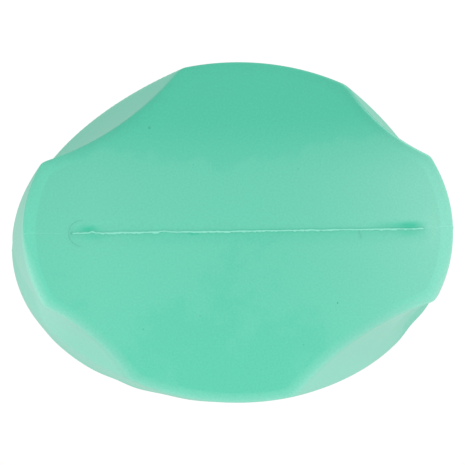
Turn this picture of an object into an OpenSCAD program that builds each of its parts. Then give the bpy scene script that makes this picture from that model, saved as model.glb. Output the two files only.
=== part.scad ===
// Pipette filler: a soft squeeze bulb that stands on its flat end, with a
// three-button valve head screwed to its neck and a pipette socket on top.
// Z is the long axis, the flat end is at z = 0, and the buttons face -Y.

/* [Squeeze bulb] */
// Width of the flat end, from side to side
base_w = 60; // [50:0.5:72]
// Depth of the flat end, from front to back
base_d = 47.4; // [39.5:0.1:57]
// How much wider the belly is than the flat end
belly_swell = 7.4; // [4:0.2:9]
// Height of the belly, the widest place
belly_z = 60; // [50:1:72]
// Height of the shoulder, where the neck starts
shoulder_z = 82; // [76:1:100]
// Thickness of the moulded wall
bulb_wall = 1.8; // [1.5:0.1:2.4]
// Radius of the rounded rim around the flat end
rim_r = 1.5; // [1:0.1:2.2]

/* [Finger flutes] */
// Radius of the two wide flutes
wide_flute_r = 40.4; // [33:0.2:49]
// How far the wide flutes cut into the flat end's oval
wide_flute_depth = 3.9; // [3:0.1:4.7]
// Height at which the wide flutes fade out
wide_flute_top = 31; // [25:1:38]
// Radius of the two narrow flutes
narrow_flute_r = 27.2; // [22:0.2:33]
// How far the narrow flutes cut into the flat end's oval
narrow_flute_depth = 1.9; // [1.5:0.1:2.3]
// Height at which the narrow flutes fade out
narrow_flute_top = 21; // [17:1:26]

/* [Weld recess] */
// Distance from the recess for the pinched seam to the flat end's left edge
recess_left = 6.5; // [5:0.1:8]
// Distance from the recess to the flat end's right edge
recess_right = 2.7; // [2.4:0.1:4]
// Width of the recess
recess_w = 3.6; // [3:0.1:4.4]
// Depth of the recess
recess_depth = 0.6; // [0.5:0.05:0.75]
// Thickness of the pinched seam left standing in the recess
seam_w = 0.45; // [0.3:0.05:0.6]

/* [Neck joint] */
// Outside radius of the neck
neck_r = 11.4; // [10.5:0.1:13.7]
// Height of the neck
neck_h = 11; // [9.5:0.5:14]
// Thickness of the neck
neck_wall = 2; // [1.6:0.1:2.6]
// Thickness of the coupling collar outside its thread
collar_wall = 2.4; // [2:0.1:3.2]
// Number of grip ribs on the collar
collar_ribs = 30; // [20:1:40]

/* [Valve head] */
// Width of the valve body
body_w = 26; // [24:0.5:32]
// Depth of the valve body, without its button pad
body_d = 23; // [22:0.5:27]
// Radius of the buttons
button_r = 4.9; // [4.2:0.1:5.9]
// Thickness of the wall between two button bores
button_gap = 2.1; // [1.5:0.1:4]
// How far a button travels
button_travel = 3; // [2.5:0.1:3.4]
// Radius of the valve stems
stem_r = 1.5; // [1.25:0.05:1.8]
// Radius of the valve seats
seat_r = 2.4; // [2.2:0.05:2.7]
// Radius of the two air galleries
gallery_r = 1.9; // [1.5:0.1:2.2]

/* [Nose] */
// Inside radius of the pipette socket
socket_r = 3.9; // [3.2:0.1:4.6]
// Length of the socket's straight grip
socket_grip = 7; // [6:0.5:9]
// Wall of the silicone pipette adapter
adapter_wall = 2.2; // [1.8:0.1:2.6]
// Thickness of the filter disc
filter_h = 1; // [0.8:0.1:1.2]

/* [Fits] */
// Radial clearance of a stem in its guide
run_clear = 0.06; // [0.03:0.01:0.09]
// Radial clearance of a button in its bore
button_clear = 0.3; // [0.25:0.05:0.4]
// Gap between pieces that are screwed or pushed together
seat_clear = 0.05; // [0.02:0.01:0.08]

/* [Hidden] */
$fn = 64;
eps = 0.01;

// Colours
bulb_green = "#5fcbaa";
head_white = "#e8ecec";
collar_grey = "#c9d0d0";
button_grey = "#5b666b";
seal_black = "#26292b";
steel = "#b9bec2";
silicone = "#e3ded2";

// Bulb
around = 88;
belly_a = (base_w + belly_swell) / 2;
oval_b = base_d / 2;
recess_len = base_w - recess_left - recess_right;
recess_shift = (recess_left - recess_right) / 2;
flute_blend = 0.7;
wide_flute_angle = -128.2;
wide_flute_drift = -0.6;
narrow_flute_angle = -43.1;
narrow_flute_drift = 0.65;
flute_step = 3;
flute_rings = ceil(max(wide_flute_top, narrow_flute_top) / flute_step) + 1;
floor_z = bulb_wall + recess_depth;
neck_top = shoulder_z + neck_h;
neck_bore_r = neck_r - neck_wall;
lip_r = neck_r + 1.5;
lip_h = 2;

// Valve body, from the neck up
spigot_r = neck_bore_r - seat_clear;
spigot_h = neck_h - 1.5;
flange_r = lip_r + 1.1;
flange_h = 6;
block_z = neck_top + flange_h;
bore_r = button_r + button_clear;
button_pitch = 2 * bore_r + button_gap;
pad_r = bore_r + 1.3;
valve_z = [for (i = [0:2]) block_z + pad_r + i * button_pitch];
block_h = 2 * pad_r + 2 * button_pitch;
block_top = block_z + block_h;
block_edge_r = 5;

// Places along a valve's own axis, counted outwards from the head's middle
block_out = body_d / 2 - 0.5;
block_in = -(body_d / 2 + 0.5);
pad_out = block_out + 5;
guide_in = block_out - 7;
seat_out = guide_in - 3;
seat_in = seat_out - 3;
chamber_r = 4;
bulb_gallery_u = seat_in - gallery_r - 0.7;
pipette_gallery_u = (seat_out + guide_in) / 2;
vent_r = 1.1;

// Buttons, stems and springs
skirt_u = block_out + button_travel + 0.4;
cap_u = skirt_u + 5.1;
cap_h = 1.6;
cap_round = 0.8;
spring_wire_r = 0.3;
spring_r = stem_r + 1.1;
spring_turns = 4.5;
spring_len = cap_u - cap_h - block_out - 2 * seat_clear;
washer_h = 1;
poppet_r = 3.5;
poppet_h = 2;
oring_r = 0.6;
mark_h = 0.3;

// Rear cover
gasket_h = 0.6;
cover_h = 2.4;
cover_w = body_w - 3;
cover_edge_r = 3;
screw_r = 1;
screw_head_r = 1.9;
screw_head_h = 1.3;
screw_len = 8;
screw_x = cover_w / 2 - 2.8;
screw_z = block_h / 2 - 4.3;

// Nose
boss_r = 8.5;
boss_h = 5;
boss_top = block_top + boss_h;
filter_r = 6.1;
port_r = filter_r + 0.1;
adapter_r = socket_r + adapter_wall;
adapter_flange_r = boss_r - 0.6;
adapter_flange_h = 2;
cone_in_r = boss_r + seat_clear;
cone_r = cone_in_r + 2.6;
cone_ledge_z = boss_top + adapter_flange_h + seat_clear;
cone_top = cone_ledge_z + 5;
socket_z = boss_top + 1;
adapter_top = socket_z + socket_grip + 1.2;

// Half width of the oval at height z, below the shoulder
function half_w(z) = base_w / 2 + belly_swell / 2 * (1 - pow((z - belly_z) / belly_z, 2));
// Radius of an oval at angle t
function oval_r(t, a, b) = 1 / sqrt(pow(cos(t) / a, 2) + pow(sin(t) / b, 2));
// The smaller of two radii, with the corner between them blended over k
function blend_min(p, q, k) =
    let (h = max(0, min(1, 0.5 + 0.5 * (q - p) / k)))
    q * (1 - h) + p * h - k * h * (1 - h);
// Where a ray at angle t meets a flute, a round groove that turns and fades with height
function flute(t, z, a, b, angle, drift, depth, top, r) =
    let (
        middle = angle + drift * z,
        centre = oval_r(middle, a, b) - depth * (1 - z / top) + r,
        near = centre * cos(t - middle),
        rest = r * r - centre * centre + near * near
    )
    rest < 0 || near < 0 ? 1000 : near - sqrt(rest);
function wide_flute(t, z, a, b, turn) = flute(t, z, a, b, wide_flute_angle + turn,
    wide_flute_drift, wide_flute_depth, wide_flute_top, wide_flute_r);
function narrow_flute(t, z, a, b, turn) = flute(t, z, a, b, narrow_flute_angle + turn,
    narrow_flute_drift, narrow_flute_depth, narrow_flute_top, narrow_flute_r);
function wide_pair(t, z, a, b) = min(wide_flute(t, z, a, b, 0), wide_flute(t, z, a, b, 180));
function narrow_pair(t, z, a, b) =
    min(narrow_flute(t, z, a, b, 0), narrow_flute(t, z, a, b, 180));
// Radius of the fluted oval at angle t
function bulb_r(t, z, a, b) = blend_min(
    blend_min(oval_r(t, a, b), wide_pair(t, z, a, b), flute_blend),
    narrow_pair(t, z, a, b), flute_blend);
// One closed ring of points. A ring is [half width, half depth, height, inset]
function ring_points(ring) = [
    for (i = [0:around - 1])
        let (t = 360 * i / around, r = bulb_r(t, ring[2], ring[0], ring[1]) - ring[3])
        [r * cos(t), r * sin(t), ring[2]]
];
// Rings of the shoulder, a quarter of an ellipse from the belly to the neck
function shoulder_rings(steps, wall, neck) = [
    for (i = [1:steps])
        let (turn = 90 * i / steps)
        [neck + (belly_a - wall - neck) * cos(turn), neck + (oval_b - wall - neck) * cos(turn),
            belly_z + (shoulder_z - wall - belly_z) * sin(turn), 0]
];
// Heights of the rings between the rim and the belly, close together over the flutes
function side_heights(low) = concat(
    [for (i = [1:flute_rings]) if (i * flute_step > low + 1) i * flute_step],
    [for (i = [1:4]) flute_rings * flute_step + (belly_z - flute_rings * flute_step) * i / 4]
);
function side_rings(low, inset) = [for (z = side_heights(low)) [half_w(z), oval_b, z, inset]];
function reversed(list) = [for (i = [len(list) - 1:-1:0]) list[i]];

outer_rings = concat(
    [for (i = [0:4]) let (turn = 22.5 * i, z = rim_r * (1 - cos(turn)))
        [half_w(z), oval_b, z, rim_r * (1 - sin(turn))]],
    side_rings(rim_r, 0),
    shoulder_rings(9, 0, neck_r),
    [[neck_r, neck_r, neck_top - lip_h - 0.6, 0], [lip_r, lip_r, neck_top - lip_h, 0],
        [lip_r, lip_r, neck_top, 0]]
);
inner_rings = concat(
    [[half_w(floor_z), oval_b, floor_z, bulb_wall + 1.4],
        [half_w(floor_z), oval_b, floor_z + 1.4, bulb_wall]],
    side_rings(floor_z + 1.4, bulb_wall),
    shoulder_rings(6, bulb_wall, neck_bore_r),
    [[neck_bore_r, neck_bore_r, neck_top, 0]]
);

// Skins a stack of rings that climbs the outside and comes down the inside
module skin(rings) {
    n = around;
    last = len(rings) - 1;
    sides = [
        for (j = [0:last - 1], i = [0:n - 1])
            each [[j * n + i, (j + 1) * n + i, (j + 1) * n + (i + 1) % n],
                [j * n + i, (j + 1) * n + (i + 1) % n, j * n + (i + 1) % n]]
    ];
    polyhedron(
        points = [for (ring = rings) each ring_points(ring)],
        faces = concat([[for (i = [0:n - 1]) i]], sides,
            [[for (i = [n - 1:-1:0]) last * n + i]])
    );
}

// A flat outline with round ends along X, w long in all
module stadium(w, r) {
    square([w - 2 * r, 2 * r], center = true);
    for (x = [-1, 1]) translate([x * (w / 2 - r), 0]) circle(r);
}

// A rectangle with round corners
module round_rectangle(w, d, r) {
    square([w - 2 * r, d], center = true);
    square([w, d - 2 * r], center = true);
    for (x = [-1, 1], y = [-1, 1]) translate([x * (w / 2 - r), y * (d / 2 - r)]) circle(r);
}

// Puts its children on valve i's axis, with +Z pointing out of the front
module on_valve(i) {
    translate([0, 0, valve_z[i]]) rotate([90, 0, 0]) children();
}

module drill(r, from, to) {
    translate([0, 0, from]) cylinder(r = r, h = to - from);
}

module ring(r_in, r_out, from, to) {
    difference() {
        drill(r_out, from, to);
        drill(r_in, from - 1, to + 1);
    }
}

module oring(centre_r, r) {
    rotate_extrude() translate([centre_r, 0]) circle(r, $fn = 24);
}

module squeeze_bulb() {
    color(bulb_green) {
        difference() {
            skin(concat(outer_rings, reversed(inner_rings)));
            translate([recess_shift, 0, -1]) linear_extrude(recess_depth + 1)
                stadium(recess_len, recess_w / 2);
        }
        translate([recess_shift, 0, recess_depth / 2 + 0.1])
            cube([recess_len - recess_w, seam_w, recess_depth + 0.1], center = true);
    }
}

module neck_seal() {
    color(seal_black) translate([0, 0, neck_top - spigot_h / 2]) oring(spigot_r - 0.75, 0.78);
}

// Coupling collar: a ledge holds the neck's lip, the thread above holds the flange
module neck_collar() {
    low = shoulder_z + 1;
    top = block_z - 0.3;
    ledge = neck_top - lip_h - 0.6 - seat_clear;
    out = flange_r + seat_clear + collar_wall;
    color(collar_grey) difference() {
        union() {
            rotate_extrude() polygon([[0, low], [out - 1.8, low], [out - 0.6, low + 1.2],
                [out - 0.6, top - 1], [out - 1.6, top], [0, top]]);
            for (i = [0:collar_ribs - 1]) rotate(360 * i / collar_ribs)
                translate([out - 0.6, 0, low + 2]) cylinder(r = 0.6, h = top - low - 4, $fn = 24);
        }
        drill(neck_r + seat_clear, low - 1, ledge + 1);
        drill(lip_r + seat_clear, ledge, neck_top);
        drill(flange_r + seat_clear, neck_top - eps, top + 1);
    }
}

module valve_body() {
    color(head_white) difference() {
        union() {
            drill(spigot_r, neck_top - spigot_h, neck_top + 1);
            drill(flange_r, neck_top, block_z + 1);
            translate([0, 0, block_z]) linear_extrude(block_h)
                translate([0, -(block_out + block_in) / 2])
                    round_rectangle(body_w, block_out - block_in, block_edge_r);
            translate([0, -pad_out, block_z + block_h / 2]) rotate([-90, 90, 0])
                linear_extrude(pad_out - block_out + 2) stadium(block_h, pad_r);
            drill(boss_r, block_top - 1, boss_top);
        }
        translate([0, 0, neck_top - spigot_h / 2]) rotate_extrude()
            translate([spigot_r - 1.6, -0.85]) square([3, 1.7]);
        for (i = [0:2]) on_valve(i) {
            drill(bore_r, guide_in, pad_out + 1);
            drill(chamber_r, seat_out, guide_in + 1);
            drill(seat_r, seat_in - 1, seat_out + 1);
            drill(chamber_r, block_in - 1, seat_in);
        }
        translate([0, -bulb_gallery_u, 0])
            drill(gallery_r, neck_top - spigot_h - 1, valve_z[1]);
        translate([0, -pipette_gallery_u, 0]) drill(gallery_r, valve_z[1], block_top);
        drill(port_r, block_top - 1, boss_top + 1);
        translate([0, -pipette_gallery_u, valve_z[0]]) rotate([0, 90, 0])
            drill(vent_r, 0, body_w);
        translate([0, -bulb_gallery_u, valve_z[2]]) rotate([0, 90, 0])
            drill(vent_r, 0, body_w);
        at_screws() drill(screw_r + seat_clear, block_in - 1, block_in + screw_len);
    }
}

// The four screw axes, with +Z pointing out of the front like a valve's axis
module at_screws() {
    for (x = [-1, 1], z = [-1, 1])
        translate([x * screw_x, 0, block_z + block_h / 2 + z * screw_z])
            rotate([90, 0, 0]) children();
}

// A plate behind the block, from one place to another along the valve axes
module rear_plate(from, to, edge) {
    translate([0, -from, block_z + block_h / 2]) rotate([90, 0, 0])
        linear_extrude(to - from) round_rectangle(cover_w, block_h - 2, edge);
}

module cover_gasket() {
    color(seal_black) difference() {
        rear_plate(block_in - gasket_h, block_in, cover_edge_r);
        for (i = [0:2]) on_valve(i) drill(chamber_r, block_in - 2, block_in + 1);
        at_screws() drill(screw_r + 0.2, block_in - 2, block_in + 1);
    }
}

module rear_cover() {
    outer = block_in - gasket_h - cover_h;
    color(head_white) difference() {
        rear_plate(outer, block_in - gasket_h, cover_edge_r);
        for (i = [0:2]) on_valve(i) drill(chamber_r - 1, block_in - gasket_h - 0.8, block_in);
        at_screws() {
            drill(screw_r + 0.2, outer - 1, block_in);
            drill(screw_head_r + 0.3, outer - 1, outer + 0.9);
        }
    }
}

module cover_screws() {
    head_u = block_in - gasket_h - cover_h + 0.9 - seat_clear;
    color(steel) at_screws() difference() {
        union() {
            drill(screw_head_r, head_u - screw_head_h, head_u);
            drill(screw_r, head_u - eps, block_in + screw_len - 1);
        }
        for (turn = [0, 90]) rotate(turn)
            translate([-1.2, -0.3, head_u - screw_head_h - 1]) cube([2.4, 0.6, 1.8]);
    }
}

// Screwed-in bush that guides a stem, with a groove for its seal and a slot to turn it
module guide() {
    color(collar_grey) difference() {
        drill(bore_r - seat_clear, guide_in, block_out);
        drill(stem_r + run_clear, guide_in - 1, block_out + 1);
        drill(stem_r + 2 * oring_r + 0.1, (guide_in + block_out) / 2 - 0.7,
            (guide_in + block_out) / 2 + 0.7);
        translate([-bore_r, -0.5, block_out - 0.8]) cube([2 * bore_r, 1, 2]);
    }
}

module stem_seal() {
    color(seal_black) translate([0, 0, (guide_in + block_out) / 2])
        oring(stem_r + 0.02 + oring_r, oring_r);
}

// Stem with its poppet disc, held in the button's socket at the other end
module stem() {
    color(steel) {
        drill(stem_r, seat_in - seat_clear - washer_h, cap_u - cap_h);
        drill(poppet_r, seat_in - seat_clear - washer_h - poppet_h,
            seat_in - seat_clear - washer_h);
    }
}

module poppet_seal() {
    color(seal_black) ring(stem_r, poppet_r, seat_in - seat_clear - washer_h,
        seat_in - seat_clear);
}

// Coil spring as a wire of six sides, swept along its helix
module spring() {
    sides = 6;
    per_turn = 16;
    steps = spring_turns * per_turn;
    low = block_out + seat_clear + spring_wire_r;
    rise = spring_len - 2 * spring_wire_r;
    color(steel) polyhedron(
        points = [
            for (k = [0:steps], j = [0:sides - 1])
                let (r = spring_r + spring_wire_r * cos(360 * j / sides), t = 360 * k / per_turn)
                [r * cos(t), r * sin(t),
                    low + rise * k / steps + spring_wire_r * sin(360 * j / sides)]
        ],
        faces = concat(
            [[for (j = [0:sides - 1]) j]],
            [for (k = [0:steps - 1], j = [0:sides - 1])
                each [[k * sides + j, (k + 1) * sides + j, (k + 1) * sides + (j + 1) % sides],
                    [k * sides + j, (k + 1) * sides + (j + 1) % sides, k * sides + (j + 1) % sides]]],
            [[for (j = [sides - 1:-1:0]) steps * sides + j]]
        )
    );
}

// Cup-shaped push button with a crowned rim, a stem socket and a raised mark
module button() {
    inner_r = button_r - 1.1;
    color(button_grey) {
        difference() {
            rotate_extrude() polygon(concat([[0, skirt_u], [button_r, skirt_u]],
                [for (i = [0:4]) [button_r - cap_round + cap_round * cos(22.5 * i),
                    cap_u - cap_round + cap_round * sin(22.5 * i)]], [[0, cap_u]]));
            difference() {
                drill(inner_r, skirt_u - 1, cap_u - cap_h);
                drill(spring_r - spring_wire_r - 0.15, skirt_u + 1, cap_u);
            }
            drill(stem_r, skirt_u - 1, cap_u - cap_h);
        }
        translate([0, 0, cap_u - eps]) linear_extrude(mark_h + eps) children();
    }
}

module ring_mark() {
    difference() {
        circle(2.3);
        circle(1.6);
    }
}

// Arrowhead that points to the bulb (-1) or to the pipette (1)
module arrow_mark(way) {
    polygon([[-2.1, -1.4 * way], [2.1, -1.4 * way], [0, 2 * way]]);
}

module filter_disc() {
    color("white") drill(filter_r, boss_top - filter_h - seat_clear, boss_top - seat_clear);
}

// Silicone sleeve: a flange under the cone, a straight grip and a funnelled mouth
module pipette_adapter() {
    color(silicone) difference() {
        union() {
            drill(adapter_flange_r, boss_top, boss_top + adapter_flange_h);
            drill(adapter_r, boss_top + 1, adapter_top - 0.8);
            translate([0, 0, adapter_top - 0.8])
                cylinder(r1 = adapter_r, r2 = adapter_r - 0.6, h = 0.8);
        }
        drill(socket_r - 1.6, boss_top - 1, socket_z + eps);
        drill(socket_r, socket_z, socket_z + socket_grip);
        translate([0, 0, socket_z + socket_grip])
            cylinder(r1 = socket_r, r2 = socket_r + 0.8, h = 1.2 + eps);
    }
}

// Screwed-on nose that clamps the adapter's flange and the filter
module nose_cone() {
    low = block_top + 0.3;
    tip_r = adapter_r + 1.6;
    color(collar_grey) difference() {
        rotate_extrude() polygon([[0, low], [cone_r - 0.6, low], [cone_r, low + 0.6],
            [cone_r, low + 3.4], [tip_r + 0.5, cone_top - 0.5], [tip_r, cone_top], [0, cone_top]]);
        drill(cone_in_r, low - 1, cone_ledge_z);
        drill(adapter_r + seat_clear, boss_top, cone_top + 1);
    }
}

squeeze_bulb();
neck_seal();
neck_collar();
valve_body();
cover_gasket();
rear_cover();
cover_screws();
on_valve(0) guide();  // air_guide
on_valve(0) stem_seal();  // air_stem_seal
on_valve(0) stem();  // air_stem
on_valve(0) poppet_seal();  // air_poppet_seal
on_valve(0) spring();  // air_spring
on_valve(0) button() ring_mark();  // air_button
on_valve(1) guide();  // suction_guide
on_valve(1) stem_seal();  // suction_stem_seal
on_valve(1) stem();  // suction_stem
on_valve(1) poppet_seal();  // suction_poppet_seal
on_valve(1) spring();  // suction_spring
on_valve(1) button() arrow_mark(-1);  // suction_button
on_valve(2) guide();  // empty_guide
on_valve(2) stem_seal();  // empty_stem_seal
on_valve(2) stem();  // empty_stem
on_valve(2) poppet_seal();  // empty_poppet_seal
on_valve(2) spring();  // empty_spring
on_valve(2) button() arrow_mark(1);  // empty_button
filter_disc();
pipette_adapter();
nose_cone();
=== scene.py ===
import math
import bpy
import numpy as np
from mathutils import Matrix, Vector, noise


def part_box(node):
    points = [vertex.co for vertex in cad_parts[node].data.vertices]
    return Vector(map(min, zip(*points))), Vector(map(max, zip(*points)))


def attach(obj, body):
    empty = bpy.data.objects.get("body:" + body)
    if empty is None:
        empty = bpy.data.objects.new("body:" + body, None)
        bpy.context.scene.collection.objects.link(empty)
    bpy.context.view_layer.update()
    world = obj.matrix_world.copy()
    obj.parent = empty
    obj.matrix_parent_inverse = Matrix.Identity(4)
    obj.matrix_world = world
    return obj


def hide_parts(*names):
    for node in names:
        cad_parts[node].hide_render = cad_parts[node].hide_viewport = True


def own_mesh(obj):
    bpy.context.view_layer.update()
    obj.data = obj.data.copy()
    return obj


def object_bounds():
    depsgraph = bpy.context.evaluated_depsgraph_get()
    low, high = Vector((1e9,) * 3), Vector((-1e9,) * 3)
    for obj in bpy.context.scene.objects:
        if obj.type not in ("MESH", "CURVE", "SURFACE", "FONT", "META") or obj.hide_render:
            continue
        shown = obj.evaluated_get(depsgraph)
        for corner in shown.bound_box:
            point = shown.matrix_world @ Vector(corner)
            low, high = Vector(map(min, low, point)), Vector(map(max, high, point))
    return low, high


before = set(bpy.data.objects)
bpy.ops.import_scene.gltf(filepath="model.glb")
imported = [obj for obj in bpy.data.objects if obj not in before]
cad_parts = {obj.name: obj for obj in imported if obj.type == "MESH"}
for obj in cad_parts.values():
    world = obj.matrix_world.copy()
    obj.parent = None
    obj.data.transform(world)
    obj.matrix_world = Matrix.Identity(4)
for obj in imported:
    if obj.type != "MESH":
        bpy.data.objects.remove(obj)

cad_low, cad_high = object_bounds()
bpy.ops.object.select_all(action="DESELECT")
MM = 0.001       # a millimetre in metres

# ---------------------------------------------------------------------------------------------
# Squeeze bulb
# The real bulb is one hollow piece of soft vinyl, blow-moulded in two halves. The mould pinches
# the hot tube shut across the flat end, and leaves a rough seam standing in a shallow trough,
# with a fine parting line from the trough's ends up both sides to the neck.
# ---------------------------------------------------------------------------------------------
bulb_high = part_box("squeeze_bulb")[1]
flat_half_w = 30.0
belly_half_w = bulb_high.x / MM - 0.15
oval_half_d = bulb_high.y / MM + 0.15
belly_z = 60.0
shoulder_z = 82.0
neck_top = bulb_high.z / MM
neck_r = 11.4
neck_bore_r = 9.4
lip_r = 12.9
wall = 1.8
inner_floor_z = 2.6
seam_middle_x = 1.39
seam_y = -0.04
seam_slant = -0.0049
# Finger flutes, in degrees and mm: where the middle is and how it turns for each mm of height, the
# depth at the flat end, the height where it fades out, the radius, and the blend of its edges
FLUTES = (dict(middle=-128.2, drift=-0.58, depth=3.9, top=44.0, radius=40.4, blend=0.6),
          dict(middle=51.8, drift=-0.56, depth=3.9, top=40.0, radius=40.4, blend=0.6),
          dict(middle=-43.1, drift=0.52, depth=1.9, top=26.0, radius=27.2, blend=0.35),
          dict(middle=136.9, drift=1.1, depth=1.9, top=50.0, radius=27.2, blend=0.15))
# Slacker places higher up the side, where a grip has set: direction, width in degrees and depth
FLATS = ((24, 4.5, 0.4), (114, 8, 0.26), (131, 5, 0.24), (158, 4, 0.1))
# The rim's rounded section: how far in from the edge and how high, from the flat end outwards
RIM = ((1.85, 0.0), (1.62, 0.02), (1.38, 0.065), (1.1, 0.135), (0.8, 0.215), (0.58, 0.285),
       (0.4, 0.37), (0.25, 0.48), (0.13, 0.63), (0.05, 0.82), (0.01, 1.05), (0.0, 1.3))

# The mesh's columns go round the bulb, and lie closer together at the seam's two ends. On the
# sides, those at the +X end are turned by about a degree, where the parting line runs off the axis.
COLUMNS = 720
even_turn = np.arange(COLUMNS) * 2 * math.pi / COLUMNS
seam_turn = even_turn - 0.2 * np.sin(2 * even_turn)
turn = seam_turn - 0.0105 * (1 + np.cos(seam_turn))
side = np.where(np.sin(seam_turn) < 0, -1.0, 1.0)


def hump(off, wide):
    """A smooth hump: 1 where off is 0, and gone at about twice wide."""
    return np.exp(-(off / wide) ** 2)


def ramp(value, start, end):
    """0 up to start, 1 from end on, and a straight climb between them."""
    return np.clip((value - start) / (end - start), 0, 1)


def half_width(z):
    """Half the oval's width at a height below the shoulder."""
    return flat_half_w + (belly_half_w - flat_half_w) * (1 - ((z - belly_z) / belly_z) ** 2)


def blend_min(one, other, over):
    """The smaller of two radii, with the corner between them rounded over a short step."""
    share = np.clip(0.5 + 0.5 * (other - one) / over, 0, 1)
    return other * (1 - share) + one * share - over * share * (1 - share)


def flute_edge(angle, z, half_w, half_d, inset, flute):
    """How far out rays from the axis meet a finger flute, which turns and fades as it climbs."""
    middle = math.radians(flute["middle"] + flute["drift"] * z)
    oval = 1 / math.hypot(math.cos(middle) / half_w, math.sin(middle) / half_d)
    centre = oval - flute["depth"] * (1 - z / flute["top"]) + flute["radius"]
    near = centre * np.cos(angle - middle)
    rest = (flute["radius"] + inset) ** 2 - centre ** 2 + near ** 2
    return np.where((rest > 0) & (near > 0), near - np.sqrt(np.maximum(rest, 0)), 1000.0)


def fluted_oval(z, half_w, half_d, inset=0.0):
    """One ring of the bulb's wall: an oval with its flutes and slack places, set in by inset."""
    angle = np.arctan2((half_d - inset) * np.sin(turn), (half_w - inset) * np.cos(turn))
    r = 1 / np.hypot(np.cos(angle) / (half_w - inset), np.sin(angle) / (half_d - inset))
    for flute in FLUTES:
        if z < flute["top"]:
            edge = flute_edge(angle, z, half_w, half_d, inset, flute)
            r = blend_min(r, edge, flute["blend"] + 0.5 * inset)
    for at, wide, deep in FLATS:
        off = (np.degrees(angle) - at + 180) % 360 - 180
        r = r - deep * hump(off, wide) * ramp(z, 8, 28)
    return r * np.cos(angle), r * np.sin(angle)


def crest_whitening_and_highlight(z, half_w, half_d):
    """How pale each place of a ring is near the crest along a flute's edges, 0 to 0.4: stretched vinyl
    there, with a painted highlight.
    """
    angle = np.arctan2(half_d * np.sin(turn), half_w * np.cos(turn))
    oval = 1 / np.hypot(np.cos(angle) / half_w, np.sin(angle) / half_d)
    crest = 0 * turn
    for flute in FLUTES:
        if z < flute["top"]:
            off = flute_edge(angle, z, half_w, half_d, 0, flute) - oval
            crest = np.maximum(crest, 0.4 * (1 - z / flute["top"]) * hump(off, 0.25))
    return crest


def slot_outline(left, right, half_w):
    """A long thin outline with round ends round the seam, left and right being its half lengths."""
    reach = np.where(np.cos(seam_turn) < 0, left, right)
    x = reach * np.cos(seam_turn)
    cap = np.clip((np.abs(x) - (reach - half_w)) / max(half_w, 1e-9), 0, 1)
    y = side * half_w * np.sqrt(1 - cap ** 2)
    return x + seam_middle_x, y


def wander(x, seed, *sizes):
    """A smooth random line along x: sizes are pairs of wave length and height."""
    return np.array([sum(h * noise.noise(Vector((v / w, seed, w))) for w, h in sizes) for v in x])


def straight_seam(x):
    """How far the trough's middle lies from the oval's long axis."""
    return seam_y + seam_slant * x


def seam_line(x):
    """How far the pinched seam lies from that axis: it wavers, and has one jog and one hook."""
    waver = wander(x, 3.1, (16, 0.07), (2.2, 0.035), (0.8, 0.02))
    jog = 0.16 / (1 + np.exp(-(x + 11.1) / 0.12)) - 0.16 / (1 + np.exp(-(x + 9.9) / 0.12))
    hook = 0.24 * hump(x + 20.4, 0.3)
    return straight_seam(x) + waver - jog - hook


rows, pale, hollow_shade, crease_shade_and_scratch = [], [], [], []


def add_row(x, y, z, pale_here=0.0, hollow_shade_here=0.0, crease_shade_and_scratch_here=0.0):
    """Adds the bulb's next ring, in mm, with its paleness, painted hollow shade, and painted crease shade
    with a scratch, from 0 to 1.
    """
    rows.append(np.stack([x + 0 * turn, y + 0 * turn, z + 0 * turn], 1))
    pale.append(pale_here + 0 * turn)
    hollow_shade.append(hollow_shade_here + 0 * turn)
    crease_shade_and_scratch.append(crease_shade_and_scratch_here + 0 * turn)


# The seam and its trough, from the middle of the seam outwards: distance from the seam, depth,
# how far the outline reaches to the left and right, and how pale the stretched vinyl and its painted
# highlight are.
SEAM_ROWS = ((0.0, 0.04, 24.5, 24.4, 1.0), (0.05, 0.04, 24.54, 24.44, 1.0),
             (0.09, 0.06, 24.58, 24.48, 1.0), (0.12, 0.15, 24.62, 24.52, 0.5),
             (0.16, 0.25, 24.66, 24.58, 0.0), (0.3, 0.24, 24.7, 24.68, 0.0),
             (0.55, 0.20, 24.76, 24.84, 0.0), (0.85, 0.15, 24.82, 25.1, 0.0),
             (1.15, 0.10, 24.88, 25.35, 0.0), (1.45, 0.055, 24.94, 25.6, 0.0),
             (1.7, 0.03, 25.0, 25.8, 0.0), (1.8, 0.022, 25.05, 25.9, 0.0),
             (1.9, 0.015, 25.12, 26.0, 0.0), (2.3, 0.0, 25.5, 26.2, 0.0))
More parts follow.
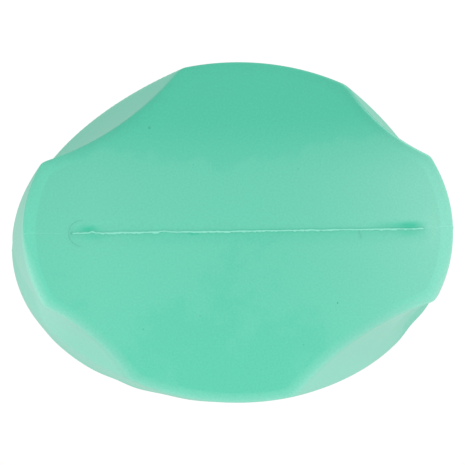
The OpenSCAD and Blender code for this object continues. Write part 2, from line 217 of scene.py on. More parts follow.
# Deeper hollows at the trough's ends, sunk a little and painted darker as shade: place along the
# seam, length, side and depth
HOLLOWS = ((-20.9, 1.3, -1, 1.0), (24.1, 1.5, -1, 1.0), (21.6, 2.4, -1, 0.5), (-20.2, 1.7, 1, 0.4),
           (23.6, 1.5, 1, 0.35))
CREASE_AWAY = 1.8
for away, depth, left, right, paleness in SEAM_ROWS:
    x, across = slot_outline(left, right, away)
    near = max(0.0, 1 - away / 1.4)
    ragged = np.where(side < 0, wander(x, 5.5, (0.4, 0.08), (2.5, 0.03)),
                      wander(x, 8.5, (0.33, 0.24), (0.9, 0.08), (3.1, 0.04)))
    ragged = np.clip(ragged, -0.03, 0.1) * (0.03 < away < 0.2)
    y = across + side * ragged + seam_line(x) * near + straight_seam(x) * (1 - near)
    rough_top = wander(x, 1.7, (1.1, 0.05)) * (away < 0.1)
    sunk_and_shaded = sum(deep * hump(x - at, long) * hump(across - to_side * 0.55, 0.42)
               for at, long, to_side, deep in HOLLOWS) * (0.1 < away < 2.3)
    # Painted shade under the ragged edge, deeper in two nicks, and in the trough a fine dark scratch
    # and a crease line painted dark as shade
    button_shade = 0.5 * ramp(x, -6, 2) * (0.1 < away < 0.25)
    far_shade = 0.24 * ramp(x, -18, -10) * max(0, 1 - away / 2.2) * (away > 0.1)
    nicks = (0.9 * hump(x + 6.4, 0.35) + 0.7 * hump(x + 5.7, 0.2)) * (0.1 < away < 0.4)
    shade = np.where(side < 0, button_shade, far_shade + nicks)
    scratch_x = 16.85 + 0.5 * np.clip(away - 0.5, 0, 0.5)
    scratch = 1.2 * hump(x - scratch_x, 0.09) * (side > 0) * (0.2 < away < 1.3)
    crease = ramp(x, seam_middle_x - 22.6, seam_middle_x - 23.8) * (away == CREASE_AWAY)
    add_row(x, y, np.maximum(depth + 0.12 * sunk_and_shaded + 0.05 * crease + rough_top, 0.0), paleness,
            np.minimum(sunk_and_shaded + shade, 1), np.maximum(crease, scratch))

# The flat face, from the trough's edge out to the rim
FACE_STEPS = 16
edge_x, edge_y = rows[-1][:, 0], rows[-1][:, 1]
flat_x, flat_y = fluted_oval(0, flat_half_w, oval_half_d, RIM[0][0])
for step in range(1, FACE_STEPS + 1):
    out = (step / FACE_STEPS) ** 1.2
    add_row(edge_x + (flat_x - edge_x) * out, edge_y + (flat_y - edge_y) * out, 0)
face_end = len(rows)

# The rounded rim, the fluted sides and the shoulder
for inset, z in RIM[1:]:
    add_row(*fluted_oval(z, half_width(z), oval_half_d, inset), z)
for z in np.arange(2.5, belly_z, 1.5):
    half_w = half_width(z)
    add_row(*fluted_oval(z, half_w, oval_half_d), z, crest_whitening_and_highlight(z, half_w, oval_half_d))
for bend in np.radians(np.arange(0, 88, 6)):
    half_w = neck_r + (belly_half_w - neck_r) * math.cos(bend)
    half_d = neck_r + (oval_half_d - neck_r) * math.cos(bend)
    add_row(*fluted_oval(belly_z, half_w, half_d), belly_z + (shoulder_z - belly_z) * math.sin(bend))
shoulder_end = len(rows)

# The neck, its lip and its bore: radius and height above the shoulder
NECK = ((11.75, 0.2), (11.45, 0.7), (neck_r, 1.4), (neck_r, 8.0), (11.5, 8.5), (12.6, 8.9),
        (lip_r, 9.2), (lip_r, 10.6), (12.6, 11.0), (9.8, 11.0), (neck_bore_r, 10.7),
        (neck_bore_r, 5.0), (neck_bore_r, -1.5))
for r, up in NECK:
    add_row(r * np.cos(turn), r * np.sin(turn), shoulder_z + up)

# The inner wall, down to the floor, where it closes along a line
for bend in np.radians((75, 60, 45, 30, 15, 0)):
    half_w = neck_bore_r + (belly_half_w - wall - neck_bore_r) * math.cos(bend)
    half_d = neck_bore_r + (oval_half_d - wall - neck_bore_r) * math.cos(bend)
    add_row(half_w * np.cos(turn), half_d * np.sin(turn),
            belly_z + (shoulder_z - wall - belly_z) * math.sin(bend))
for z in (50, 40, 33, 26, 19, 12, 7, 4.2):
    add_row(*fluted_oval(z, half_width(z), oval_half_d, wall), z)
inner_x, inner_y = fluted_oval(inner_floor_z, half_width(inner_floor_z), oval_half_d, wall + 1.6)
add_row(inner_x, inner_y, inner_floor_z)
add_row(inner_x * 0.9, inner_y * 0.5, inner_floor_z)
add_row(20 * np.cos(seam_turn), 0, inner_floor_z)

shape, pale = np.array(rows), np.array(pale)

# The parting line: a fine ridge up both ends of the oval, pale where the vinyl was pinched
ridge_from_z = RIM[-3][1]
line_rows = slice(len(SEAM_ROWS), shoulder_end)
for column, outward, paleness in ((0, 1, 0.9), (COLUMNS // 2, -1, 0.35)):
    on_side = shape[line_rows, column, 2] > ridge_from_z
    shape[line_rows, column, 0] += 0.07 * outward * on_side
    pale[line_rows, column] = paleness


def painted_sheen_at(x, y, z):
    """How much painted sheen the vinyl has, a pale haze that stands in for its satin reflection: little on
    the flat end, and most up the sides.
    """
    toward_ends = np.where(x < 0, 0.06, 0.19) * (x / 25) ** 2
    rise = ramp(y, -19, -6)
    fall = 1 - 0.35 * ramp(y, -2, 18)
    face = (rise * rise * (3 - 2 * rise)) * fall * (0.12 + toward_ends)
    face = face * (1 - 0.30 * ramp(x, -20, -28))
    pale_spot = 0.07 * hump(x - 27, 1.1) * hump(y + 0.2, 2.2)
    in_trough = (np.abs(y) < 3) & (np.abs(x - seam_middle_x) < 26.4) & (z < 1)
    climb = np.where(in_trough, 0, ramp(z + 0.45 * np.tanh(y / 3), 0.5, 1.0))
    sides = 0.24 + 0.18 * ramp(y, -15, 0) - 0.14 * ramp(z, 25, 60)
    corners = 0.14 * hump(np.abs(x) - 26, 5) * hump(y - 9, 5) * (z < 25)
    far_end = 0.09 * hump(x + 31, 4)
    return (face + pale_spot) * (1 - climb) + (sides + corners + far_end) * climb


def painted_light_at(x, y, z):
    """Painted light and shade: lighter towards +Y, away from the buttons, where more light falls, and
    lighter on the rim at the oval's ends; painted shade darkens the rim along its long sides.
    """
    tone = 0.94 + 0.16 * ramp(y, -19.05, 19.05)
    past_face = (np.arange(len(z)) >= face_end)[:, None]
    on_rim = past_face * ramp(z, 1.9, 1.4)
    tone = tone * (1 + 0.07 * ramp(np.abs(x), 20, 27) * on_rim)
    above_face = on_rim * ramp(z, 0, 0.3) * ramp(np.abs(x), 8, 16)
    return tone * (1 - 0.054 * ramp(np.abs(y), 2, 11) * above_face)


# A sheet with one column for each turn step is rolled up into the bulb and sewn where it meets
bpy.ops.mesh.primitive_grid_add(x_subdivisions=COLUMNS, y_subdivisions=len(rows) - 1, size=1)
bulb = bpy.context.object
bulb.name = "bulb_skin"
sheet = np.zeros(len(bulb.data.vertices) * 3)
bulb.data.vertices.foreach_get("co", sheet)
sheet = sheet.reshape(-1, 3)
column = np.rint((sheet[:, 0] + 0.5) * COLUMNS).astype(int) % COLUMNS
row = np.rint((sheet[:, 1] + 0.5) * (len(rows) - 1)).astype(int)
bulb.data.vertices.foreach_set("co", (shape[row, column] * MM).ravel())
shape_xyz = np.moveaxis(shape, 2, 0)
for name, values in (("pale", pale), ("hollow_shade", hollow_shade), ("crease", crease_shade_and_scratch),
                     ("painted_sheen", painted_sheen_at(*shape_xyz)), ("tone", painted_light_at(*shape_xyz))):
    attribute = bulb.data.attributes.new(name, "FLOAT", "POINT")
    attribute.data.foreach_set("value", np.array(values)[row, column])


def sew(piece):
    """Merges a new mesh where it meets itself, and turns its faces outwards."""
    bpy.ops.object.mode_set(mode="EDIT")
    bpy.ops.mesh.select_all(action="SELECT")
    bpy.ops.mesh.remove_doubles(threshold=1e-6)
    bpy.ops.mesh.normals_make_consistent(inside=False)
    bpy.ops.object.mode_set(mode="OBJECT")
    # Faces this small can all be left turned inwards, and the volume they hold is then negative
    if sum(face.area * face.normal.dot(face.center) for face in piece.data.polygons) < 0:
        bpy.ops.object.mode_set(mode="EDIT")
        bpy.ops.mesh.flip_normals()
        bpy.ops.object.mode_set(mode="OBJECT")


sew(bulb)
bpy.ops.object.shade_smooth()
bpy.ops.object.select_all(action="DESELECT")


def new_material(name):
    """An empty node material: the material, its node tree and a function that adds a node."""
    material = bpy.data.materials.new(name)
    material.use_nodes = True
    tree = material.node_tree
    tree.nodes.clear()
    return material, tree, tree.nodes.new


def add_math(tree, operation, *values):
    """One sum on numbers and sockets."""
    node = tree.nodes.new("ShaderNodeMath")
    node.operation = operation
    for socket, value in zip(node.inputs, values):
        if isinstance(value, (int, float)):
            socket.default_value = value
        else:
            tree.links.new(value, socket)
    return node.outputs[0]


def build_grain_group():
    """Moulded grain: a slow blotch and a fine grain as a tone round 1, and a height for bump."""
    group = bpy.data.node_groups.new("moulded_grain", "ShaderNodeTree")
    group.interface.new_socket("Vector", in_out="INPUT", socket_type="NodeSocketVector")
    for label, value in (("Grain Scale", 4000), ("Blotch Scale", 90), ("Blotch", 0.06), ("Speckle", 0.04)):
        socket = group.interface.new_socket(label, in_out="INPUT", socket_type="NodeSocketFloat")
        socket.default_value = value
    for label in ("Tone", "Height"):
        group.interface.new_socket(label, in_out="OUTPUT", socket_type="NodeSocketFloat")
    add, link = group.nodes.new, group.links.new
    inside, outside = add("NodeGroupInput"), add("NodeGroupOutput")
    tone, waves = 1, []
    for scale, detail, amount in (("Grain Scale", 2, "Speckle"), ("Blotch Scale", 4, "Blotch")):
        wave = add("ShaderNodeTexNoise")
        wave.inputs["Detail"].default_value = detail
        link(inside.outputs["Vector"], wave.inputs["Vector"])
        link(inside.outputs[scale], wave.inputs["Scale"])
        centred = add_math(group, "SUBTRACT", wave.outputs["Fac"], 0.5)
        tone = add_math(group, "MULTIPLY_ADD", centred, inside.outputs[amount], tone)
        waves.append(wave.outputs["Fac"])
    link(tone, outside.inputs["Tone"])
    link(waves[0], outside.inputs["Height"])
    return group


grain_group = build_grain_group()


def add_grain(tree, grain_scale, blotch_scale, blotch, speckle):
    """Places the moulded grain in a material, on Object coordinates."""
    place = tree.nodes.new("ShaderNodeTexCoord")
    grain = tree.nodes.new("ShaderNodeGroup")
    grain.node_tree = grain_group
    tree.links.new(place.outputs["Object"], grain.inputs["Vector"])
    for label, value in (("Grain Scale", grain_scale), ("Blotch Scale", blotch_scale),
                         ("Blotch", blotch), ("Speckle", speckle)):
        grain.inputs[label].default_value = value
    return place, grain


def add_mask(tree, name):
    """One of the values that the bulb's mesh holds at each point, as a socket."""
    mask = tree.nodes.new("ShaderNodeAttribute")
    mask.attribute_name = name
    return mask.outputs["Fac"]


def add_range(tree, value, low, high, new_low, new_high):
    """Maps a value from one range to another, held at both ends."""
    node = tree.nodes.new("ShaderNodeMapRange")
    for i, number in enumerate((low, high, new_low, new_high)):
        node.inputs[i + 1].default_value = number
    tree.links.new(value, node.inputs[0])
    return node.outputs[0]


def set_colour(tree, socket, colour):
    """Gives a colour socket its colour, which is three numbers or another socket."""
    if isinstance(colour, tuple):
        socket.default_value = (*colour, 1)
    else:
        tree.links.new(colour, socket)


def add_mix(tree, factor, colour_a, colour_b):
    """Goes from colour_a to colour_b by a factor socket."""
    mix = tree.nodes.new("ShaderNodeMix")
    mix.data_type = "RGBA"
    tree.links.new(factor, mix.inputs["Factor"])
    set_colour(tree, mix.inputs["A"], colour_a)
    set_colour(tree, mix.inputs["B"], colour_b)
    return mix.outputs["Result"]


def add_toned(tree, tone, colour):
    """Multiplies a colour by a tone round 1."""
    mix = tree.nodes.new("ShaderNodeMix")
    mix.data_type, mix.blend_type = "RGBA", "MULTIPLY"
    mix.inputs["Factor"].default_value = 1
    set_colour(tree, mix.inputs["A"], colour)
    tree.links.new(tone, mix.inputs["B"])
    return mix.outputs["Result"]


def add_satin(tree, grain, smooth, rough):
    """A roughness that follows the moulded grain, from smooth in its pits to rough on its tops."""
    return add_range(tree, grain.outputs["Height"], 0.3, 0.7, smooth, rough)


def add_surface(tree, colour, roughness, height, bump, **gloss):
    """The Principled shader with its colour, roughness, bump and plain gloss values, as output."""
    shader = tree.nodes.new("ShaderNodeBsdfPrincipled")
    output = tree.nodes.new("ShaderNodeOutputMaterial")
    relief = tree.nodes.new("ShaderNodeBump")
    tree.links.new(shader.outputs["BSDF"], output.inputs["Surface"])
    tree.links.new(colour, shader.inputs["Base Color"])
    if isinstance(roughness, float):
        shader.inputs["Roughness"].default_value = roughness
    else:
        tree.links.new(roughness, shader.inputs["Roughness"])
    relief.inputs["Strength"].default_value = bump
    relief.inputs["Distance"].default_value = 0.02 * MM
    tree.links.new(height, relief.inputs["Height"])
    tree.links.new(relief.outputs["Normal"], shader.inputs["Normal"])
    for label, value in gloss.items():
        shader.inputs[label.replace("_", " ")].default_value = value


# Soft vinyl: sea green and satin, with a pale haze painted in as its sheen, stirred into cloudy
# patches, and a few dark specks of dust in it. The parting line is paler, stretched vinyl; the seam
# and the flute crests are painted paler, partly as stretched vinyl and partly as a painted highlight.
# The trough's ends are deeper, and painted shade darkens them and a crease there.
vinyl_green, sheen_green = (0.058, 0.517, 0.345), (0.41, 0.77, 0.65)
# Tints for the painted hollow shade, the painted crease shade and scratch, and the pale seam and crests
hollow_shade_green, crease_shade_and_scratch_green, stretched_and_highlight_green = (0.02, 0.52, 0.335), (0.07, 0.30, 0.22), (0.26, 0.74, 0.58)
speck_colour, pore_colour = (0.02, 0.18, 0.13), (0.02, 0.22, 0.16)
vinyl, tree, add = new_material("sea_green_vinyl")
place, grain = add_grain(tree, grain_scale=3600, blotch_scale=55, blotch=0.05, speckle=0.22)
# The painted sheen: a pale haze in the colour that stands in for the satin reflection, stirred into random
# patches by cloud noise
painted_sheen = add_mask(tree, "painted_sheen")
cloud = add("ShaderNodeTexNoise")
for label, value in (("Scale", 110), ("Detail", 8), ("Roughness", 0.65)):
    cloud.inputs[label].default_value = value
tree.links.new(place.outputs["Object"], cloud.inputs["Vector"])
stirred = add_math(tree, "MULTIPLY_ADD", cloud.outputs["Fac"], 0.22, painted_sheen)
patches = add_range(tree, stirred, 0.195, 0.215, -0.02, 0.025)
colour = add_mix(tree, add_math(tree, "ADD", painted_sheen, patches), vinyl_green, sheen_green)
colour = add_toned(tree, grain.outputs["Tone"], colour)
# The tone mask paints light and shade: lighter towards +Y and on the rim at the oval's ends, darker on the
# rim's long sides
colour = add_toned(tree, add_mask(tree, "tone"), colour)

# About half of the cells of a random pattern hold one small speck of dust each
specks, chance = add("ShaderNodeTexVoronoi"), add("ShaderNodeSeparateColor")
specks.inputs["Scale"].default_value = 170
tree.links.new(place.outputs["Object"], specks.inputs["Vector"])
tree.links.new(specks.outputs["Color"], chance.inputs[0])
speck = add_range(tree, specks.outputs["Distance"], 0.012, 0.021, 1.0, 0.0)
speck = add_math(tree, "MULTIPLY", speck, add_range(tree, chance.outputs[0], 0.45, 0.5, 0.0, 0.9))
colour = add_mix(tree, speck, colour, speck_colour)

# Larger dark pores in the flat end: where, how wide (mm) and how strong
PORES = ((-12.3, -14.6, 0.26, 0.45), (13.7, 10.1, 0.13, 0.9), (-5.5, 11.7, 0.12, 0.4),
         (-13.4, 13.5, 0.15, 0.4), (8.9, 15.9, 0.13, 0.4), (8.4, -8.7, 0.12, 0.4),
         (-6.2, -9.4, 0.11, 0.35))
for x, y, wide, strength in PORES:
    from_pore = add("ShaderNodeVectorMath")
    from_pore.operation = "DISTANCE"
    tree.links.new(place.outputs["Object"], from_pore.inputs[0])
    from_pore.inputs[1].default_value = (x * MM, y * MM, 0)
    pore = add_range(tree, from_pore.outputs["Value"], 0.4 * wide * MM, wide * MM, strength, 0)
    colour = add_mix(tree, pore, colour, pore_colour)
# Painted shade in the hollows and on the crease, a dark scratch, and paler stretched vinyl with a painted
# highlight
for name, strength, tint in (("hollow_shade", 0.9, hollow_shade_green), ("crease", 0.4, crease_shade_and_scratch_green),
                             ("pale", 0.8, stretched_and_highlight_green)):
    colour = add_mix(tree, add_range(tree, add_mask(tree, name), 0, 1, 0, strength), colour, tint)
add_surface(tree, colour, add_satin(tree, grain, 0.40, 0.48), grain.outputs["Height"], 0.25)
bulb.data.materials.append(vinyl)
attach(bulb, "filler")
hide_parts("squeeze_bulb")

# ---------------------------------------------------------------------------------------------
# Neck seal
# A black rubber O-ring, moulded in one piece. It is stretched into the groove of the valve body's
# spigot, and seals the inside of the bulb's neck.
# ---------------------------------------------------------------------------------------------
rubber_black, rubber_dust = (0.018, 0.018, 0.020), (0.09, 0.09, 0.088)
rubber, tree, add = new_material("black_rubber")
place, grain = add_grain(tree, grain_scale=9000, blotch_scale=700, blotch=0.30, speckle=0.25)
colour = add_toned(tree, grain.outputs["Tone"], rubber_black)
dust = add_range(tree, grain.outputs["Tone"], 1.05, 1.22, 0.0, 0.35)
colour = add_mix(tree, dust, colour, rubber_dust)
add_surface(tree, colour, add_satin(tree, grain, 0.48, 0.62), grain.outputs["Height"], 0.3)


def refinish(node, material):
    """Gives a CAD node that keeps its own shape a better material."""
    node_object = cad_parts[node]
    if not node_object.material_slots:
        node_object.data.materials.append(material)
    for material_slot in node_object.material_slots:
        material_slot.material = material


refinish("neck_seal", rubber)

# ---------------------------------------------------------------------------------------------
# Neck collar
# An injection-moulded grey polypropylene nut. Its inner ledge pulls the bulb's lip against the
# head, and the ribs give fingers a grip. The ribs' tops are worn shiny, and painted paler, partly as
# wear and partly as a painted highlight.
# ---------------------------------------------------------------------------------------------
collar_low, collar_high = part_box("neck_collar")
collar_r = collar_high.x / MM
collar_z0, collar_z1 = collar_low.z / MM, collar_high.z / MM
RIBS = 30
RIB_HEIGHT = 1.15
STEPS_PER_RIB = 12
collar_core_r = collar_r - RIB_HEIGHT
ledge_z = neck_top - 2.65
fit = 0.06
flange_r = 14.0
neck_hole_r, lip_hole_r, flange_hole_r = neck_r + fit, lip_r + fit, flange_r + fit
collar_grey, collar_between_ribs_grey, collar_worn_highlight = (0.46, 0.51, 0.515), (0.25, 0.27, 0.265), (0.62, 0.66, 0.66)


def turned(name, profile, steps):
    """A piece turned round Z: a ring of steps points drawn out along its closed profile, in mm."""
    r, z = profile[0]
    bpy.ops.mesh.primitive_circle_add(vertices=steps, radius=r * MM, location=(0, 0, z * MM))
    piece = bpy.context.object
    piece.name = name
    bpy.ops.object.transform_apply(location=True, rotation=True, scale=True)
    bpy.ops.object.mode_set(mode="EDIT")
    bpy.ops.mesh.select_all(action="SELECT")
    for next_r, next_z in (*profile[1:], profile[0]):
        bpy.ops.mesh.extrude_region_move(TRANSFORM_OT_translate={"value": (0, 0, (next_z - z) * MM)})
        bpy.ops.transform.resize(value=(next_r / r, next_r / r, 1), center_override=(0, 0, 0))
        r, z = next_r, next_z
    bpy.ops.object.mode_set(mode="OBJECT")
    sew(piece)
    return piece


collar = turned("collar_nut", (
    (neck_hole_r, collar_z0 + 0.3), (neck_hole_r + 0.3, collar_z0), (collar_core_r - 2.2, collar_z0),
    (collar_core_r - 1.6, collar_z0 + 0.15), (collar_core_r - 0.5, collar_z0 + 0.9),
    (collar_core_r - 0.1, collar_z0 + 1.35), (collar_core_r, collar_z0 + 1.7),
    (collar_core_r, collar_z0 + 2.1), (collar_core_r, collar_z0 + 2.5), (collar_core_r, collar_z0 + 3.0),
    (collar_core_r, collar_z1 - 2.8), (collar_core_r, collar_z1 - 2.4), (collar_core_r, collar_z1 - 2.0),
    (collar_core_r, collar_z1 - 1.4), (collar_core_r - 0.1, collar_z1 - 0.9),
    (collar_core_r - 0.5, collar_z1 - 0.35), (collar_core_r - 1.1, collar_z1 - 0.05),
    (collar_core_r - 1.5, collar_z1), (flange_hole_r + 0.3, collar_z1), (flange_hole_r, collar_z1 - 0.3),
    (flange_hole_r, neck_top), (lip_hole_r, neck_top), (lip_hole_r, ledge_z), (neck_hole_r, ledge_z)),
    RIBS * STEPS_PER_RIB)
for vertex in collar.data.vertices:
    x, y, z = vertex.co / MM
    if math.hypot(x, y) > collar_core_r - 0.02:
        crest = max(0.0, math.cos(RIBS * math.atan2(y, x))) ** 0.8
        ends = ramp(min(z - collar_z0 - 1.7, collar_z1 - 1.4 - z), 0, 1.1)
        swell = 1 + RIB_HEIGHT / collar_core_r * crest * math.sin(ends * math.pi / 2)
        vertex.co.x *= swell
        vertex.co.y *= swell
bpy.ops.object.select_all(action="DESELECT")
collar.select_set(True)
bpy.ops.object.shade_smooth_by_angle(angle=math.radians(40))
bpy.ops.object.select_all(action="DESELECT")

grey, tree, add = new_material("grey_polypropylene")
place, grain = add_grain(tree, grain_scale=3600, blotch_scale=140, blotch=0.10, speckle=0.10)
# Darker between the ribs, and the ribs' tops worn and painted paler as a highlight, by distance from the
# axis
flat_place, radius = add("ShaderNodeVectorMath"), add("ShaderNodeVectorMath")
flat_place.operation, radius.operation = "MULTIPLY", "LENGTH"
flat_place.inputs[1].default_value = (1, 1, 0)
tree.links.new(place.outputs["Object"], flat_place.inputs[0])
tree.links.new(flat_place.outputs[0], radius.inputs[0])
worn_highlight = add_range(tree, radius.outputs["Value"], (collar_r - 0.35) * MM, collar_r * MM, 0.0, 0.55)
darker_between_ribs = add_range(tree, radius.outputs["Value"], (collar_core_r - 0.1) * MM,
                 (collar_core_r + 0.35) * MM, 0.30, 0.0)
colour = add_toned(tree, grain.outputs["Tone"], collar_grey)
colour = add_mix(tree, darker_between_ribs, colour, collar_between_ribs_grey)
colour = add_mix(tree, worn_highlight, colour, collar_worn_highlight)
add_surface(tree, colour, add_range(tree, worn_highlight, 0, 0.55, 0.46, 0.28), grain.outputs["Height"], 0.35)
collar.data.materials.append(grey)
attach(collar, "filler")
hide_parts("neck_collar")

# ---------------------------------------------------------------------------------------------
# Valve body
# One injection-moulded block of white polypropylene with a raised pad for the three buttons. All
# its outer edges are rounded, and its skin has a fine spark-eroded texture.
# ---------------------------------------------------------------------------------------------
def softened(node, name, width, segments=2):
    """A copy of a CAD node's solid, its loose triangles joined and its sharp edges rounded."""
    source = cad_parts[node]
    piece = bpy.data.objects.new(name, source.data.copy())
    piece.matrix_world = source.matrix_world.copy()
    bpy.context.scene.collection.objects.link(piece)
    bpy.context.view_layer.objects.active = piece
    bpy.ops.object.select_all(action="DESELECT")
    piece.select_set(True)
    bpy.ops.object.transform_apply(location=True, rotation=True, scale=True)
    piece.data.materials.clear()
    bpy.ops.object.mode_set(mode="EDIT")
    bpy.ops.mesh.select_all(action="SELECT")
    bpy.ops.mesh.remove_doubles(threshold=2e-6)
    bpy.ops.mesh.dissolve_limited(angle_limit=math.radians(0.6))
    bpy.ops.object.mode_set(mode="OBJECT")
    bevel = piece.modifiers.new("edges", "BEVEL")
    bevel.width, bevel.segments = width * MM, segments
    bevel.limit_method, bevel.angle_limit = "ANGLE", math.radians(40)
    bpy.ops.object.modifier_apply(modifier="edges")
    bpy.ops.object.mode_set(mode="EDIT")
    bpy.ops.mesh.select_all(action="SELECT")
    bpy.ops.mesh.remove_doubles(threshold=1e-6)
    bpy.ops.object.mode_set(mode="OBJECT")
    bpy.ops.object.shade_smooth_by_angle(angle=math.radians(32))
    flats = piece.modifiers.new("flats", "WEIGHTED_NORMAL")
    flats.keep_sharp = True
    bpy.ops.object.modifier_apply(modifier="flats")
    bpy.ops.object.select_all(action="DESELECT")
    return piece


pad_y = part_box("valve_body")[0].y / MM
PAD_HEIGHT = 5.0
body_white, handled_white = (0.60, 0.63, 0.625), (0.60, 0.60, 0.56)
valve_body = softened("valve_body", "valve_block", 0.4, 3)
white, tree, add = new_material("white_polypropylene")
place, grain = add_grain(tree, grain_scale=4200, blotch_scale=60, blotch=0.05, speckle=0.06)
colour = add_toned(tree, grain.outputs["Tone"], body_white)
apart = add("ShaderNodeSeparateXYZ")
tree.links.new(place.outputs["Object"], apart.inputs[0])
handled = add_range(tree, apart.outputs["Y"], pad_y * MM, (pad_y + PAD_HEIGHT + 0.2) * MM, 0.18, 0.0)
colour = add_mix(tree, handled, colour, handled_white)
add_surface(tree, colour, add_satin(tree, grain, 0.38, 0.50), grain.outputs["Height"], 0.35)
valve_body.data.materials.append(white)
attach(valve_body, "filler")
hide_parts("valve_body")

# ---------------------------------------------------------------------------------------------
# Rear cover, its gasket and its screws
# The cover is a white moulded plate that closes the poppet chambers. Under it lies a black
# rubber gasket, and four cross-slot stainless screws hold it down.
# ---------------------------------------------------------------------------------------------
refinish("cover_gasket", rubber)
cover = softened("rear_cover", "rear_plate", 0.3, 3)
cover.data.materials.append(white)
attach(cover, "filler")
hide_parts("rear_cover")

screw_steel = (0.56, 0.57, 0.58)
screws = softened("cover_screws", "cover_screw_set", 0.12)
steel, tree, add = new_material("turned_steel")
place, grain = add_grain(tree, grain_scale=2600, blotch_scale=300, blotch=0.12, speckle=0.10)
stretch, brushed = add("ShaderNodeMapping"), add("ShaderNodeTexNoise")
stretch.inputs["Scale"].default_value = (1, 14, 1)
brushed.inputs["Scale"].default_value = 2500
tree.links.new(place.outputs["Object"], stretch.inputs["Vector"])
tree.links.new(stretch.outputs["Vector"], brushed.inputs["Vector"])
colour = add_toned(tree, grain.outputs["Tone"], screw_steel)
add_surface(tree, colour, add_range(tree, brushed.outputs["Fac"], 0.3, 0.7, 0.22, 0.38),
            brushed.outputs["Fac"], 0.2, Metallic=1.0)
screws.data.materials.append(steel)
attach(screws, "filler")
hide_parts("cover_screws")

# ---------------------------------------------------------------------------------------------
# The three valves: guide, seals, stem, spring and button
# Each valve is a stainless stem with a poppet disc and a rubber washer, in a turned acetal guide
# with its own O-ring. A wire spring holds out a dark moulded button with a raised white mark.
# ---------------------------------------------------------------------------------------------
SPRING_R = 2.6
WIRE_R = 0.3
COILS = 5.5
COIL_STEPS = 220
MARK_HEIGHT = 0.3
button_face_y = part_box("air_button")[0].y / MM + MARK_HEIGHT
guide_white, spring_grey = (0.58, 0.61, 0.60), (0.47, 0.48, 0.49)
button_dark, button_rubbed, mark_white = (0.062, 0.078, 0.086), (0.16, 0.18, 0.19), (0.74, 0.76, 0.75)
acetal, tree, add = new_material("turned_acetal")
place, grain = add_grain(tree, grain_scale=3000, blotch_scale=400, blotch=0.08, speckle=0.08)
colour = add_toned(tree, grain.outputs["Tone"], guide_white)
add_surface(tree, colour, add_satin(tree, grain, 0.30, 0.42), grain.outputs["Height"], 0.15)

wire, tree, add = new_material("drawn_wire")
place, grain = add_grain(tree, grain_scale=5000, blotch_scale=900, blotch=0.18, speckle=0.12)
colour = add_toned(tree, grain.outputs["Tone"], spring_grey)
add_surface(tree, colour, add_satin(tree, grain, 0.18, 0.34), grain.outputs["Height"], 0.15, Metallic=1.0)

button_plastic, tree, add = new_material("dark_button")
place, grain = add_grain(tree, grain_scale=3800, blotch_scale=260, blotch=0.22, speckle=0.14)
apart = add("ShaderNodeSeparateXYZ")
tree.links.new(place.outputs["Object"], apart.inputs[0])
colour = add_toned(tree, grain.outputs["Tone"], button_dark)
rubbed = add_range(tree, grain.outputs["Tone"], 1.06, 1.2, 0.0, 0.25)
colour = add_mix(tree, rubbed, colour, button_rubbed)
inked = add_range(tree, apart.outputs["Y"], (button_face_y - 0.12) * MM, (button_face_y - 0.06) * MM,
                  1.0, 0.0)
colour = add_mix(tree, inked, colour, mark_white)
add_surface(tree, colour, add_satin(tree, grain, 0.24, 0.36), grain.outputs["Height"], 0.2,
            Coat_Weight=0.25, Coat_Roughness=0.2)

for valve in ("air", "suction", "empty"):
    for node, material in (("stem_seal", rubber), ("poppet_seal", rubber), ("stem", steel)):
        refinish(f"{valve}_{node}", material)

    guide = softened(f"{valve}_guide", f"{valve}_bush", 0.12)
    guide.data.materials.append(acetal)
    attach(guide, "filler")
    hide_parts(f"{valve}_guide")

    spring_low, spring_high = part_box(f"{valve}_spring")
    axis_z = (spring_low.z + spring_high.z) / 2 / MM
    near_y, far_y = spring_high.y / MM - WIRE_R, spring_low.y / MM + WIRE_R
    bpy.ops.mesh.primitive_grid_add(x_subdivisions=COIL_STEPS, y_subdivisions=10, size=1)
    spring = bpy.context.object
    spring.name = f"{valve}_coil"
    for vertex in spring.data.vertices:
        along, around = vertex.co.x + 0.5, (vertex.co.y + 0.5) * 2 * math.pi
        thick = WIRE_R if 0.001 < along < 0.999 else 0
        swing = along * COILS * 2 * math.pi
        climb = ramp(along * COILS, 0.75, COILS - 0.75)
        r = SPRING_R + thick * math.cos(around)
        vertex.co = Vector((r * math.cos(swing), near_y + (far_y - near_y) * climb
                            - thick * math.sin(around), axis_z + r * math.sin(swing))) * MM
    sew(spring)
    bpy.ops.object.shade_smooth()
    bpy.ops.object.select_all(action="DESELECT")
    spring.data.materials.append(wire)
    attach(spring, "filler")
    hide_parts(f"{valve}_spring")
    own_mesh(spring)

    button = softened(f"{valve}_button", f"{valve}_cap", 0.15)
    button.data.materials.append(button_plastic)
    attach(button, f"{valve}_valve")
    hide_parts(f"{valve}_button")

# ---------------------------------------------------------------------------------------------
# Nose: filter, pipette adapter and nose cone
# A white membrane disc lies under a milky silicone sleeve that grips the pipette. A grey cone
# screws over both, and is turned down to a thin lip round the sleeve.
# ---------------------------------------------------------------------------------------------
membrane_white, silicone_cream = (0.80, 0.80, 0.77), (0.66, 0.63, 0.54)
membrane, tree, add = new_material("filter_membrane")
place, grain = add_grain(tree, grain_scale=9000, blotch_scale=1200, blotch=0.10, speckle=0.16)
colour = add_toned(tree, grain.outputs["Tone"], membrane_white)
add_surface(tree, colour, 0.85, grain.outputs["Height"], 0.6)
refinish("filter_disc", membrane)

adapter = softened("pipette_adapter", "socket_sleeve", 0.25, 3)
silicone, tree, add = new_material("milky_silicone")
place, grain = add_grain(tree, grain_scale=2400, blotch_scale=120, blotch=0.06, speckle=0.05)
colour = add_toned(tree, grain.outputs["Tone"], silicone_cream)
add_surface(tree, colour, add_satin(tree, grain, 0.40, 0.54), grain.outputs["Height"], 0.2,
            Subsurface_Weight=0.15, Subsurface_Scale=1.0 * MM)
adapter.data.materials.append(silicone)
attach(adapter, "filler")
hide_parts("pipette_adapter")

cone = softened("nose_cone", "nose_nut", 0.35, 3)
cone.data.materials.append(grey)
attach(cone, "filler")
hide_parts("nose_cone")

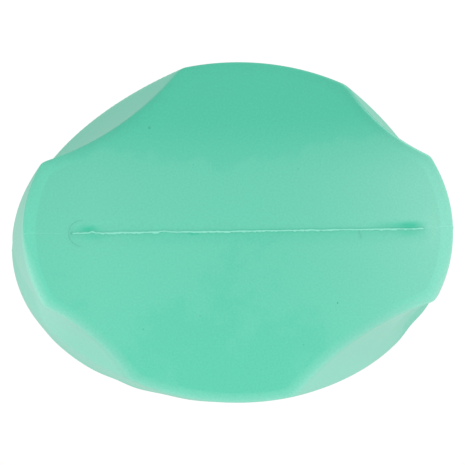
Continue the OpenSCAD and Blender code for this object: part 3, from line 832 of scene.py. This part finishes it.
# ---------------------------------------------------------------------------------------------
# Stage: camera, lights and floor
# The camera looks up at the flat end, from a little to the -X and +Y side of the bulb's axis. The
# floor is clear from below and lets light through, so that the end it stands on can be seen.
# ---------------------------------------------------------------------------------------------
CAMERA_FROM_END = 400
SEEN_WIDTH = 64.673       # what it takes in across the flat end
CAMERA_TILT = -0.5
camera_data = bpy.data.cameras.new("camera")
camera = bpy.data.objects.new("camera", camera_data)
bpy.context.scene.collection.objects.link(camera)
camera_data.sensor_width = 36
camera_data.lens = camera_data.sensor_width * CAMERA_FROM_END / SEEN_WIDTH
camera_at = Vector((-15.6, 22.8, -CAMERA_FROM_END)) * MM
camera_target = Vector((-0.85, 0.14, 0)) * MM
back = (camera_at - camera_target).normalized()
right = Vector((1, 0, 0))
right = (right - back * right.dot(back)).normalized()
right.rotate(Matrix.Rotation(math.radians(CAMERA_TILT), 3, back))
up = back.cross(right)
camera.matrix_world = Matrix.Translation(camera_at) @ Matrix((right, up, back)).transposed().to_4x4()
camera_data.clip_start, camera_data.clip_end = 0.01, 20
bpy.context.scene.camera = camera

# The camera sees an even white round the part. What lights the part is a little dimmer, and comes
# more from the flat end's side than from the head's.
bpy.context.scene.view_settings.view_transform = "Standard"
world = bpy.data.worlds.new("studio")
bpy.context.scene.world = world
world.use_nodes = True
tree = world.node_tree
tree.nodes.clear()
add = tree.nodes.new
seen, lit = add("ShaderNodeBackground"), add("ShaderNodeBackground")
seen.inputs["Color"].default_value = (1, 1, 1, 1)
seen.inputs["Strength"].default_value = 1.02
lit.inputs["Color"].default_value = (1, 1, 1, 1)
heading, slope, level = add("ShaderNodeTexCoord"), add("ShaderNodeVectorMath"), add("ShaderNodeMath")
slope.operation, level.operation = "DOT_PRODUCT", "ADD"
slope.inputs[1].default_value = (0.08, 0.08, -0.25)
level.inputs[1].default_value = 0.925
tree.links.new(heading.outputs["Generated"], slope.inputs[0])
tree.links.new(slope.outputs["Value"], level.inputs[0])
tree.links.new(level.outputs[0], lit.inputs["Strength"])
path, which, output = add("ShaderNodeLightPath"), add("ShaderNodeMixShader"), add("ShaderNodeOutputWorld")
tree.links.new(path.outputs["Is Camera Ray"], which.inputs[0])
tree.links.new(lit.outputs[0], which.inputs[1])
tree.links.new(seen.outputs[0], which.inputs[2])
tree.links.new(which.outputs[0], output.inputs["Surface"])


def soft_box(name, at, aim, size, watts):
    """A square lamp, aimed at a place, that lights the part without being seen itself."""
    data = bpy.data.lights.new(name, "AREA")
    data.shape, data.size, data.energy = "SQUARE", size, watts
    box = bpy.data.objects.new(name, data)
    box.location = at
    box.rotation_mode = "QUATERNION"
    box.rotation_quaternion = (Vector(aim) - Vector(at)).to_track_quat("-Z", "Y")
    box.visible_camera = False
    bpy.context.scene.collection.objects.link(box)
    return box


middle = (cad_low + cad_high) / 2
soft_box("left_box", (-0.30, -0.02, 0.0), (0, 0, 0.03), 0.3, 0.15).visible_glossy = False
soft_box("key_box", (0.50, -0.62, 0.26), middle, 0.22, 1.5)

# The floor takes light near the part, and fades to the white round it further off
bpy.ops.mesh.primitive_plane_add(size=6, location=(0, 0, -0.2 * MM))
floor = bpy.context.object
floor.name = "floor"
pale_floor, tree, add = new_material("pale_floor")
near_floor, far_floor = add("ShaderNodeBsdfDiffuse"), add("ShaderNodeEmission")
upper = add("ShaderNodeMixShader")
near_floor.inputs["Color"].default_value = (0.86, 0.87, 0.87, 1)
far_floor.inputs["Strength"].default_value = 1.02
place, distance = add("ShaderNodeTexCoord"), add("ShaderNodeVectorMath")
distance.operation = "LENGTH"
tree.links.new(place.outputs["Object"], distance.inputs[0])
tree.links.new(add_range(tree, distance.outputs["Value"], 0.08, 0.34, 0, 1), upper.inputs[0])
tree.links.new(near_floor.outputs[0], upper.inputs[1])
tree.links.new(far_floor.outputs[0], upper.inputs[2])
under, mix = add("ShaderNodeBsdfTransparent"), add("ShaderNodeMixShader")
facing, output = add("ShaderNodeNewGeometry"), add("ShaderNodeOutputMaterial")
tree.links.new(facing.outputs["Backfacing"], mix.inputs[0])
tree.links.new(upper.outputs[0], mix.inputs[1])
tree.links.new(under.outputs[0], mix.inputs[2])
tree.links.new(mix.outputs[0], output.inputs["Surface"])
floor.data.materials.append(pale_floor)
floor.visible_diffuse = floor.visible_glossy = floor.visible_shadow = False
floor.visible_transmission = False
